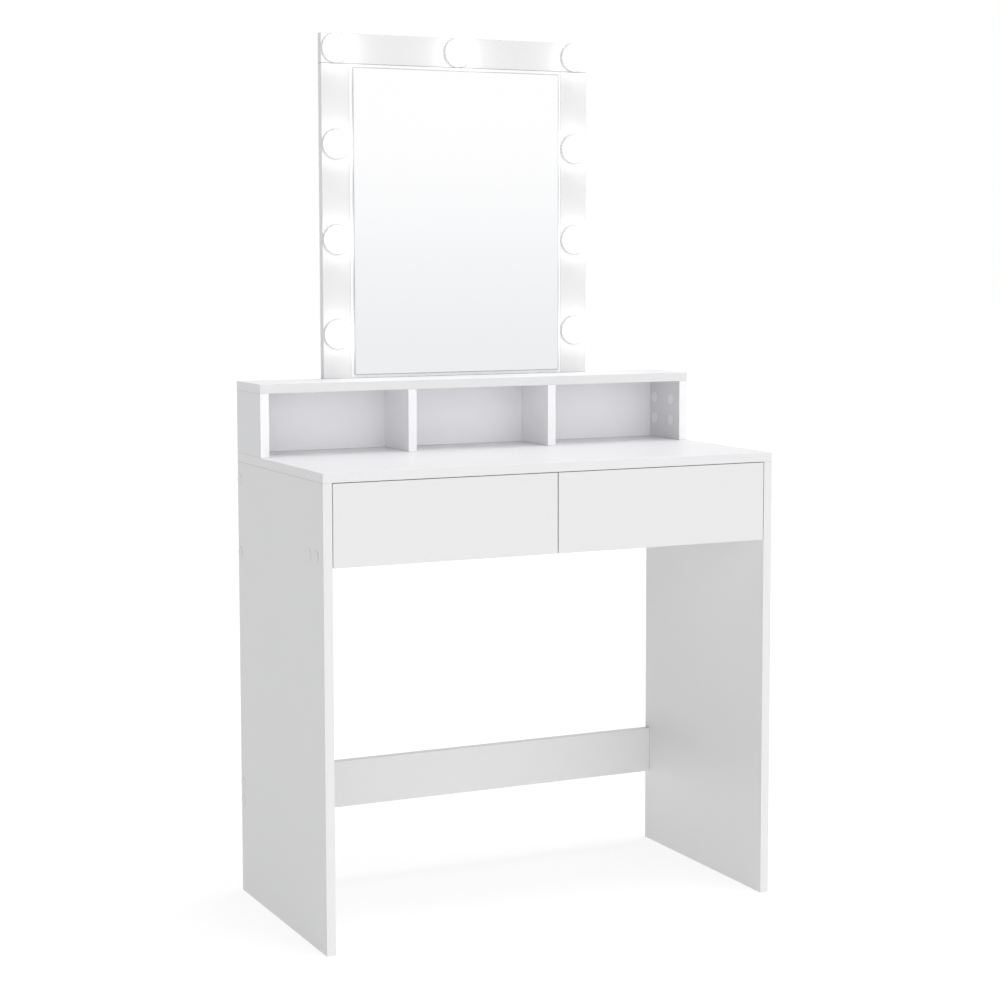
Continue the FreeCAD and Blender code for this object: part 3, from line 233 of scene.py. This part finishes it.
def joined_edges(name, boxes):
    """The edges of a board that another board stands against: (axis, +1 or -1)."""
    low, high = boxes[name]
    size = high - low
    thin = min(range(3), key=lambda axis: size[axis])
    found = set()
    for other, (other_low, other_high) in boxes.items():
        shared = [min(high[axis], other_high[axis]) - max(low[axis], other_low[axis])
                  for axis in range(3)]
        for axis in range(3):
            along = [shared[way] for way in range(3) if way != axis]
            if other == name or axis == thin or min(along) < MM:
                continue
            if abs(other_high[axis] - low[axis]) < CONTACT:
                found.add((axis, -1))
            if abs(other_low[axis] - high[axis]) < CONTACT:
                found.add((axis, 1))
    return sorted(found)


def melamine(name, node, face, band, joined, sheen_rough=0.42):
    """White melamine board: pearly faces, plastic edge bands and the fine joint between them.

    Where another board stands against it, the last bit before the joint is darkened as painted shade.
    """
    paint = Paint(name)
    joint_shade_tones = MIRROR_JOINT_PAINTED_SHADE_TONE if node.startswith("mirror") else JOINT_PAINTED_SHADE_TONE
    low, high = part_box(node)
    size = high - low
    thin = min(range(3), key=lambda axis: size[axis])
    wide, tall = [axis for axis in range(3) if axis != thin]

    on_face = paint.math("GREATER_THAN", paint.math("ABSOLUTE", normal_part(paint, thin)), ON_FACE)
    from_low = paint.vector("SUBTRACT", paint.place.outputs["Object"], low)
    from_high = paint.vector("SUBTRACT", high, paint.place.outputs["Object"])
    insets = [paint.add("SeparateXYZ", {"Vector": way}).outputs for way in (from_low, from_high)]
    inset = paint.add("SeparateXYZ", {"Vector": paint.vector("MINIMUM", from_low, from_high)})
    inset = paint.math("MINIMUM", inset.outputs[wide], inset.outputs[tall])
    off_joint = paint.math("ABSOLUTE", paint.math("SUBTRACT", inset, BAND_THICK))
    joint = paint.math("MULTIPLY", on_face, paint.math("LESS_THAN", off_joint, BAND_LINE))

    cloud = paint.noise(0.22, detail=3.0)
    speck = paint.noise(0.9 * MM, detail=2.0)
    # Painted light: the faces listed take a lighter copy of the white.
    inner = PAINTED_LIGHT_SIDE.get(node)
    tone = PAINTED_LIGHT_WHITE if inner == 0 else face
    if inner:
        inward = paint.math("MULTIPLY", normal_part(paint, thin), inner)
        tone = paint.blend(paint.math("GREATER_THAN", inward, ON_FACE), face, PAINTED_LIGHT_WHITE)
    pearl = paint.blend(cloud, paint.tint(tone, 0.988), paint.tint(tone, 1.008))
    pearl = paint.blend(paint.between(speck, 0.0, 0.25), pearl, paint.tint(tone, 0.97))
    edge = paint.blend(paint.noise(0.03), shade(band, 0.99), shade(band, 1.005))
    color = paint.blend(on_face, edge, pearl)
    color = paint.blend(joint, color, shade(band, 0.72))
    # Painted shade: darken the strip next to each joint.
    for axis, sign in joined:
        close = paint.math("LESS_THAN", insets[sign > 0][axis], JOINT_SHADE)
        color = paint.blend(close, color, shade(band, joint_shade_tones[axis]))

    peel = paint.bump(paint.noise(1.6 * MM, detail=3.0, rough=0.6), 0.018 * MM)
    milled = paint.bump(paint.noise(0.5 * MM, detail=1.0), 0.006 * MM, peel)
    groove = paint.bump(paint.math("SUBTRACT", 1.0, joint), 0.05 * MM, milled)
    rough = paint.between(speck, sheen_rough - 0.05, sheen_rough + 0.06)
    paint.set(Base_Color=color, Roughness=rough, Normal=groove)
    paint.shader.inputs["Specular IOR Level"].default_value = 0.42
    return paint.material


def hardboard(name, primed_below):
    """Thin hardboard: lacquered white, or with its screen-marked underside only primed."""
    paint = Paint(name)
    fibre = paint.noise(2.5 * MM, detail=6.0, rough=0.7)
    lacquer = paint.blend(fibre, rgb(0.74, 0.74, 0.745), rgb(0.78, 0.78, 0.78))
    primer = paint.blend(fibre, rgb(0.62, 0.62, 0.61), rgb(0.70, 0.70, 0.69))
    screen = paint.add("TexVoronoi", {"Vector": paint.where(), "Scale": 1 / (1.8 * MM)},
                       distance="CHEBYCHEV").outputs["Distance"]
    least = -0.5 if primed_below else -2.0  # no normal goes below -1, so nothing is primed
    below = paint.math("LESS_THAN", normal_part(paint, 2), least)
    color = paint.blend(below, lacquer, primer)
    height = paint.math("ADD", fibre, paint.math("MULTIPLY", below, screen))
    paint.set(Base_Color=color, Roughness=paint.between(fibre, 0.38, 0.6),
              Normal=paint.bump(height, 0.05 * MM))
    return paint.material


def beech(name):
    """Pale turned beech with short darker flecks."""
    paint = Paint(name)
    grain = paint.noise(1.2 * MM, detail=4.0, stretch=(1.0, 0.4, 0.15))
    fleck = paint.noise(0.5 * MM, detail=2.0, stretch=(1.0, 0.5, 0.1))
    wood = paint.blend(grain, rgb(0.62, 0.42, 0.25), rgb(0.78, 0.58, 0.38))
    wood = paint.blend(paint.between(fleck, -0.4, 0.7), wood, rgb(0.42, 0.25, 0.13))
    paint.set(Base_Color=wood, Roughness=paint.between(grain, 0.5, 0.7),
              Normal=paint.bump(grain, 0.05 * MM))
    return paint.material


def silvered_glass(name, node):
    """Mirror glass: silver behind its flat front, a ground border round it that is painted dark as
    painted shade, and pale edges.
    """
    paint = Paint(name)
    low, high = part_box(node)
    from_low = paint.vector("SUBTRACT", paint.place.outputs["Object"], low)
    from_high = paint.vector("SUBTRACT", high, paint.place.outputs["Object"])
    inset = paint.add("SeparateXYZ", {"Vector": paint.vector("MINIMUM", from_low, from_high)})
    inset = paint.math("MINIMUM", inset.outputs[0], inset.outputs[2])
    facing = paint.math("LESS_THAN", normal_part(paint, 1), -0.97)
    slanted = paint.math("LESS_THAN", normal_part(paint, 1), -0.3)
    inside = paint.math("GREATER_THAN", inset, GLASS_RIM)
    front = paint.math("MULTIPLY", facing, inside)
    ground = paint.noise(0.6 * MM, detail=3.0)
    edge = paint.blend(ground, rgb(0.70, 0.74, 0.73), rgb(0.78, 0.81, 0.80))
    bevel = paint.blend(ground, rgb(0.56, 0.57, 0.57), rgb(0.64, 0.65, 0.65))
    # Painted shade: the ground border on the front is dark.
    rim_painted_shade = paint.blend(ground, rgb(0.30, 0.31, 0.31), rgb(0.36, 0.37, 0.37))
    ripple = paint.noise(0.35, detail=1.0)
    silver = paint.blend(ripple, rgb(0.955, 0.954, 0.962), rgb(0.960, 0.960, 0.968))
    color = paint.blend(slanted, edge, bevel)
    color = paint.blend(facing, color, rim_painted_shade)
    paint.set(Base_Color=paint.blend(front, color, silver), Metallic=front,
              Roughness=paint.between(front, 0.22, 0.012))
    return paint.material


def satin_metal(name, light, dark, rough, grain, stretch=(1, 1, 1)):
    """Bare or plated metal with fine mottling."""
    paint = Paint(name)
    mottle = paint.noise(grain, detail=4.0, stretch=stretch)
    fine = paint.noise(grain / 6, detail=2.0, stretch=stretch)
    paint.set(Base_Color=paint.blend(mottle, dark, light), Metallic=1.0,
              Roughness=paint.between(mottle, rough - 0.08, rough + 0.1),
              Normal=paint.bump(fine, 0.01 * MM))
    return paint.material


def enamel(name):
    """White epoxy powder coat on the slides' steel."""
    paint = Paint(name)
    peel = paint.noise(1.1 * MM, detail=3.0, rough=0.6)
    tone = paint.noise(12 * MM, detail=2.0)
    paint.set(Base_Color=paint.blend(tone, rgb(0.70, 0.70, 0.69), rgb(0.76, 0.76, 0.75)),
              Roughness=paint.between(peel, 0.28, 0.42), Normal=paint.bump(peel, 0.04 * MM))
    paint.shader.inputs["Coat Weight"].default_value = 0.25
    return paint.material


def plastic(name, light, dark, rough, grain=0.7 * MM, depth=0.02 * MM):
    """Moulded plastic with a fine spark-eroded texture."""
    paint = Paint(name)
    spark = paint.noise(grain, detail=3.0, rough=0.65)
    flow = paint.noise(15 * MM, detail=2.0)
    paint.set(Base_Color=paint.blend(flow, dark, light),
              Roughness=paint.between(spark, rough - 0.06, rough + 0.08),
              Normal=paint.bump(spark, depth))
    return paint.material


def cover_plastic(name, node):
    """Stick-on round covers: whiter than the wall in the hutch, the legs' own white outside, with
    painted shade round their sides.
    """
    paint = Paint(name)
    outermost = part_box(node)[1].x
    across = paint.add("SeparateXYZ", {"Vector": paint.place.outputs["Object"]}).outputs[0]
    outside = paint.math("GREATER_THAN", paint.math("ABSOLUTE", across), outermost - MM)
    # Painted shade: the covers' slanted sides are darker.
    rim_painted_shade = paint.math("LESS_THAN", paint.math("ABSOLUTE", normal_part(paint, 0)), 0.9)
    spark = paint.noise(0.7 * MM, detail=3.0, rough=0.65)
    inner = paint.blend(spark, rgb(0.90), rgb(0.93))
    outer = paint.blend(spark, rgb(0.795), rgb(0.81))
    color = paint.blend(rim_painted_shade, paint.blend(outside, inner, outer), rgb(0.6))
    paint.set(Base_Color=color, Roughness=paint.between(spark, 0.44, 0.58),
              Normal=paint.bump(spark, 0.02 * MM))
    return paint.material


def lit_globe(name):
    """A frosted globe with its lamp on."""
    paint = Paint(name)
    frost = paint.noise(0.4 * MM, detail=2.0)
    haze = paint.noise(9 * MM, detail=1.0)
    glow = paint.blend(haze, rgb(1.0, 0.985, 0.965), rgb(1.0, 1.0, 1.0))
    paint.set(Base_Color=paint.blend(frost, rgb(0.55), rgb(0.6)),
              Roughness=paint.between(frost, 0.3, 0.45), Normal=paint.bump(frost, 0.01 * MM),
              Emission_Color=glow)
    paint.shader.inputs["Emission Strength"].default_value = GLOBE_GLOW
    return paint.material


def board_face(name):
    """The white of a board's faces: a little cooler on the hutch and the tabletop."""
    return COOL_WHITE if "hutch" in name or name == "tabletop" else BOARD_WHITE


def finishes():
    """The material of each of the record's slots that isn't a board."""
    return {
        "white_hardboard": hardboard("white_hardboard_finish", False),
        "beech": beech("beech_finish"),
        "mirror_glass": silvered_glass("silvered_glass_finish", "mirror_glass"),
        "bulb_base": plastic("bulb_base_finish", rgb(0.80), rgb(0.76), 0.35),
        "frosted_globe": lit_globe("lit_globe_finish"),
        "cap_plastic": cover_plastic("cap_finish", "cover_caps"),
        "cast_zinc": satin_metal("cast_zinc_finish", rgb(0.56, 0.56, 0.57), rgb(0.42, 0.42, 0.44),
                                 0.42, 2 * MM),
        "zinc_plated_steel": satin_metal("zinc_plate_finish", rgb(0.60, 0.61, 0.64),
                                         rgb(0.45, 0.46, 0.49), 0.26, 3 * MM),
        "epoxy_coated_steel": enamel("slide_enamel_finish"),
        "bracket_steel": satin_metal("bracket_finish", rgb(0.58, 0.59, 0.61),
                                     rgb(0.44, 0.45, 0.47), 0.34, 5 * MM, (1, 1, 0.1)),
        "nylon": plastic("nylon_finish", rgb(0.82, 0.82, 0.80), rgb(0.77, 0.77, 0.75), 0.36),
        "wire_insulation": plastic("wire_finish", rgb(0.75), rgb(0.7), 0.45),
        "socket_plastic": plastic("socket_finish", rgb(0.022), rgb(0.015), 0.38),
    }


def dress(node, material):
    """Put a material in a node's one slot."""
    node.material_slots[0].material = material


def outline_nodes():
    """Geometry nodes that weld a board, give its faces their own normals and mark its outline.

    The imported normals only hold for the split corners. The outline is the edges that lie on two
    sides of the board's box, so the rims of its holes are left out.
    """
    group = bpy.data.node_groups.new("board_outline", "GeometryNodeTree")
    for way in ("INPUT", "OUTPUT"):
        group.interface.new_socket("Geometry", in_out=way, socket_type="NodeSocketGeometry")

    def add(kind, values, **settings):
        node = group.nodes.new(kind)
        for key, value in settings.items():
            setattr(node, key, value)
        for socket, value in values.items():
            if isinstance(value, bpy.types.NodeSocket):
                group.links.new(value, node.inputs[socket])
            else:
                node.inputs[socket].default_value = value
        return node.outputs[0] if node.outputs else None

    def away(corner):
        """How far an edge's middle lies from a corner of the box, along each axis."""
        place = add("GeometryNodeInputPosition", {})
        gap = add("ShaderNodeVectorMath", {0: place, 1: corner}, operation="SUBTRACT")
        return add("ShaderNodeVectorMath", {0: gap}, operation="ABSOLUTE")

    board = add("NodeGroupInput", {})
    box = group.nodes.new("GeometryNodeBoundBox")
    group.links.new(board, box.inputs["Geometry"])
    nearest = add("ShaderNodeVectorMath", {0: away(box.outputs["Min"]), 1: away(box.outputs["Max"])},
                  operation="MINIMUM")
    split = group.nodes.new("ShaderNodeSeparateXYZ")
    group.links.new(nearest, split.inputs[0])
    sides = 0.0
    for axis in split.outputs:
        on_side = add("ShaderNodeMath", {0: axis, 1: WELD}, operation="LESS_THAN")
        sides = add("ShaderNodeMath", {0: sides, 1: on_side}, operation="ADD")
    outline = add("ShaderNodeMath", {0: sides, 1: 1.5}, operation="GREATER_THAN")

    board = add("GeometryNodeMergeByDistance", {"Geometry": board, "Distance": WELD})
    board = add("GeometryNodeRemoveAttribute", {"Geometry": board, "Name": "custom_normal"})
    board = add("GeometryNodeSetShadeSmooth", {"Geometry": board, "Shade Smooth": False})
    board = add("GeometryNodeStoreNamedAttribute",
                {"Geometry": board, "Name": "bevel_weight_edge", "Value": outline},
                data_type="FLOAT", domain="EDGE")
    add("NodeGroupOutput", {"Geometry": board})
    return group


def round_edges(node, outline):
    """Mark the node's outline, merge its flat faces, and soften that outline."""
    node.modifiers.new("outline", "NODES").node_group = outline
    flat = node.modifiers.new("flat", "DECIMATE")
    flat.decimate_type = "DISSOLVE"
    flat.angle_limit = math.radians(0.5)
    bevel = node.modifiers.new("round", "BEVEL")
    bevel.width = EDGE_ROUND
    bevel.segments = 2
    bevel.limit_method = "WEIGHT"


def dress_nodes(finish):
    """Put a finish on every node of the frame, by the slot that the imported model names."""
    slots = {name: node.data.materials[0].name for name, node in frame["nodes"].items()}
    outline = outline_nodes()
    boxes = {name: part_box(name) for name, slot in slots.items()
             if slot == "white_board" and "drawer" not in name}
    for name, node in frame["nodes"].items():
        if slots[name] == "white_board":
            # Painted light: these boards' edge bands get a lighter white.
            band = PAINTED_LIGHT_BAND if name in PAINTED_LIGHT_EDGED else BAND_WHITE
            joined = joined_edges(name, boxes) if name in boxes else []
            dress(node, melamine(f"melamine_{name}", name, board_face(name), band, joined))
            round_edges(node, outline)
        elif slots[name] == "drawer_board":
            dress(node, melamine(f"melamine_{name}", name, DRAWER_WHITE, DRAWER_WHITE, [],
                                 sheen_rough=0.5))
            round_edges(node, outline)
        elif name.endswith("drawer_bottom"):
            dress(node, hardboard(f"hardboard_{name}", True))
        else:
            dress(node, finish[slots[name]])


# Bulbs.


def arc(center, radius, start, end, steps):
    """Points (radius, height) of an arc in a section, angles in degrees from outward."""
    points = []
    for step in range(steps + 1):
        angle = math.radians(start + (end - start) * step / steps)
        points.append((center[0] + radius * math.cos(angle), center[1] + radius * math.sin(angle)))
    return points


def spun(name, section, spot, segments=96):
    """A closed round solid from half its section, its axis along -Y through the spot given."""
    mesh = bpy.data.meshes.new(name)
    build = bmesh.new()
    rings = []
    for radius, height in section:
        if radius < 1e-7:
            rings.append([build.verts.new((0, 0, height))])
            continue
        ring = []
        for step in range(segments):
            angle = 2 * math.pi * step / segments
            ring.append(build.verts.new((radius * math.cos(angle), radius * math.sin(angle), height)))
        rings.append(ring)
    for lower, upper in zip(rings, rings[1:] + rings[:1]):
        for step in range(segments):
            after = (step + 1) % segments
            around = [lower[step % len(lower)], lower[after % len(lower)],
                      upper[after % len(upper)], upper[step % len(upper)]]
            corners = list(dict.fromkeys(around))
            if len(corners) > 2:
                build.faces.new(corners)
    bmesh.ops.recalc_face_normals(build, faces=build.faces)
    build.transform(Matrix.Translation(spot) @ Matrix.Rotation(math.pi / 2, 4, "X"))
    build.to_mesh(mesh)
    build.free()
    mesh.shade_smooth()
    piece = bpy.data.objects.new(name, mesh)
    bpy.context.scene.collection.objects.link(piece)
    return piece


def bulb_spots():
    """Centres of the nine bulb bases on the light boards' front face."""
    low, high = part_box("bulb_bases")
    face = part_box("mirror_top_light_board")[0].y
    base = base_radius()
    side_x = (high.x - low.x) / 2 - base
    top_z = high.z - base
    lowest_z = low.z + base
    step = (top_z - lowest_z) / 3
    spots = [(0.0, face, top_z)]
    for sign in (-1, 1):
        for row in range(4):
            spots.append((sign * side_x, face, top_z - row * step))
    return spots


def base_radius():
    """Radius of a bulb base, which is as wide as a light board."""
    board_low, board_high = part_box("mirror_top_light_board")
    return (board_high.z - board_low.z) / 2


def bulbs(finish):
    """Nine moulded bases, each with a frosted glowing globe."""
    base_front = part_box("bulb_bases")[0].y
    base_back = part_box("bulb_bases")[1].y
    globe_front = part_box("bulb_globes")[0].y
    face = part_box("mirror_top_light_board")[0].y
    wide = base_radius()
    stem = base_back - face
    tall = BASE_TALL
    globe = wide - GLOBE_INSET
    ring_thick = 1.2 * MM
    ring = globe - GLOBE_WALL - 0.6 * MM
    ring_tall = face - base_front
    neck = face - globe_front - tall - globe
    base_section = [(0, -stem), (STEM_RADIUS, -stem), (STEM_RADIUS, 0), (wide - 0.3 * MM, 0),
                    (wide, 0.3 * MM)]
    base_section += arc((wide - BASE_LIP, tall - BASE_LIP), BASE_LIP, 0, 90, 6)
    base_section += [(globe + 0.25 * MM, tall), (globe + 0.15 * MM, tall - 0.5 * MM),
                     (ring, tall - 0.5 * MM), (ring, ring_tall), (ring - ring_thick, ring_tall),
                     (ring - ring_thick, tall - 0.5 * MM), (0, tall - 0.5 * MM)]
    outer = arc((0, tall + neck), globe, 0, 90, 20)
    inner = arc((0, tall + neck), globe - GLOBE_WALL, 90, 0, 20)
    globe_section = [(globe - 0.2 * MM, tall - 0.45 * MM), (globe, tall - 0.2 * MM)] + outer
    globe_section[-1] = (0, globe_section[-1][1])
    inner[0] = (0, inner[0][1])
    globe_section += inner + [(globe - GLOBE_WALL, tall - 0.45 * MM)]
    for number, spot in enumerate(bulb_spots(), 1):
        base = spun(f"bulb_base_{number}", base_section, spot)
        lamp = spun(f"bulb_globe_{number}", globe_section, spot)
        for piece, slot, node in ((base, "bulb_base", "bulb_bases"),
                                  (lamp, "frosted_globe", "bulb_globes")):
            piece.data.materials.append(finish[slot])
            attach(piece, "root")
            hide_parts(node)


# Studio.


def floor():
    """A wide plain floor, white in the picture, that mirrors don't see."""
    mesh = bpy.data.meshes.new("studio_floor")
    corners = [(x * FLOOR_HALF, y * FLOOR_HALF, 0) for x, y in ((-1, -1), (1, -1), (1, 1), (-1, 1))]
    mesh.from_pydata(corners, [], [(0, 1, 2, 3)])
    piece = bpy.data.objects.new("studio_floor", mesh)
    bpy.context.scene.collection.objects.link(piece)
    paint = Paint("studio_floor_finish")
    grain = paint.noise(0.4, detail=2.0)
    paint.set(Base_Color=paint.blend(grain, rgb(FLOOR_TONE), rgb(FLOOR_TONE + 0.01)), Roughness=0.9)
    paint.shader.inputs["Specular IOR Level"].default_value = 0.1
    paint.shader.inputs["Emission Color"].default_value = rgb(1.0)
    paint.shader.inputs["Emission Strength"].default_value = FLOOR_GLOW
    mesh.materials.append(paint.material)
    piece.visible_glossy = False


def world():
    """A white backdrop, even soft light, and a pale graded surround for the mirror."""
    studio = bpy.data.worlds.new("studio")
    studio.use_nodes = True
    tree = studio.node_tree
    nodes = tree.nodes
    background = nodes["Background"]
    path = nodes.new("ShaderNodeLightPath")
    place = nodes.new("ShaderNodeTexCoord")
    split = nodes.new("ShaderNodeSeparateXYZ")
    grade = nodes.new("ShaderNodeMapRange")
    grade.interpolation_type = "SMOOTHSTEP"
    grade.inputs["From Min"].default_value = math.sin(math.radians(REFLECTED_FROM))
    grade.inputs["From Max"].default_value = math.sin(math.radians(REFLECTED_TO))
    tree.links.new(place.outputs["Generated"], split.inputs[0])
    tree.links.new(split.outputs["Z"], grade.inputs["Value"])

    def mixed(share, first, second):
        mix = nodes.new("ShaderNodeMix")
        mix.data_type = "RGBA"
        tree.links.new(share, mix.inputs[0])
        for socket, value in ((mix.inputs[6], first), (mix.inputs[7], second)):
            if isinstance(value, bpy.types.NodeSocket):
                tree.links.new(value, socket)
            else:
                socket.default_value = value
        return mix.outputs[2]

    frontal = nodes.new("ShaderNodeMapRange")
    frontal.interpolation_type = "SMOOTHSTEP"
    frontal.inputs["From Min"].default_value = -FRONT_FROM
    frontal.inputs["From Max"].default_value = -1.0
    tree.links.new(split.outputs["Y"], frontal.inputs["Value"])
    surround = mixed(grade.outputs[0], rgb(*REFLECTED_LOW), rgb(*REFLECTED_HIGH))
    ambient = mixed(frontal.outputs[0], rgb(*AMBIENT_SIDE), rgb(*AMBIENT_FRONT))
    unseen = mixed(path.outputs["Is Glossy Ray"], ambient, surround)
    color = mixed(path.outputs["Is Camera Ray"], unseen, rgb(BACKDROP))
    tree.links.new(color, background.inputs["Color"])
    bpy.context.scene.world = studio


def key_light():
    """One large soft light from above and in front."""
    data = bpy.data.lights.new("key_light", "SUN")
    data.energy = KEY_STRENGTH
    data.angle = math.radians(KEY_SOFTNESS)
    light = bpy.data.objects.new("key_light", data)
    light.rotation_mode = "QUATERNION"
    light.rotation_quaternion = Vector(KEY_FROM).to_track_quat("Z", "Y")
    light.location = (0, -1, 3)
    bpy.context.scene.collection.objects.link(light)


def lamps():
    """The glow that each bulb throws on what is round it, from just outside its globe.

    The bases stand in the shade of their own lips, so they take no light from the lamps.
    """
    shaded = bpy.data.collections.new("shaded_bases")
    for piece in bpy.data.objects:
        if piece.name.startswith("bulb_base_"):
            shaded.objects.link(piece)
    for member in shaded.collection_objects:
        member.light_linking.link_state = "EXCLUDE"
    globe = base_radius() - GLOBE_INSET
    radius = math.hypot(LAMP_UP - BASE_TALL, globe) + 0.5 * MM
    for number, (x, face, z) in enumerate(bulb_spots(), 1):
        data = bpy.data.lights.new(f"lamp_{number}", "POINT")
        data.shadow_soft_size = radius
        data.use_soft_falloff = False
        data.energy = LAMP_GLOW * math.pi * 4 * math.pi * radius ** 2
        light = bpy.data.objects.new(f"lamp_{number}", data)
        light.location = (x, face - LAMP_UP, z)
        light.visible_camera = False
        light.visible_glossy = False
        light.light_linking.receiver_collection = shaded
        bpy.context.scene.collection.objects.link(light)


def camera():
    """The camera, level but for a slight look down, with a small vertical shift."""
    data = bpy.data.cameras.new("camera")
    data.lens = CAMERA_LENS
    data.sensor_width = 36
    data.shift_y = CAMERA_SHIFT
    eye = bpy.data.objects.new("camera", data)
    yaw = math.radians(CAMERA_YAW)
    pitch = math.radians(CAMERA_PITCH)
    ahead = Vector((math.sin(yaw) * math.cos(pitch), math.cos(yaw) * math.cos(pitch), math.sin(pitch)))
    turn = ahead.to_track_quat("-Z", "Y").to_matrix().to_4x4()
    roll = Matrix.Rotation(math.radians(CAMERA_ROLL), 4, "Z")
    eye.matrix_world = Matrix.Translation(CAMERA_AT) @ turn @ roll
    bpy.context.scene.collection.objects.link(eye)
    bpy.context.scene.camera = eye


def picture():
    """Plain colours, with white staying white."""
    view = bpy.context.scene.view_settings
    view.view_transform = "Standard"
    view.look = "None"


finish = finishes()
dress_nodes(finish)
bulbs(finish)
floor()
world()
key_light()
lamps()
camera()
picture()
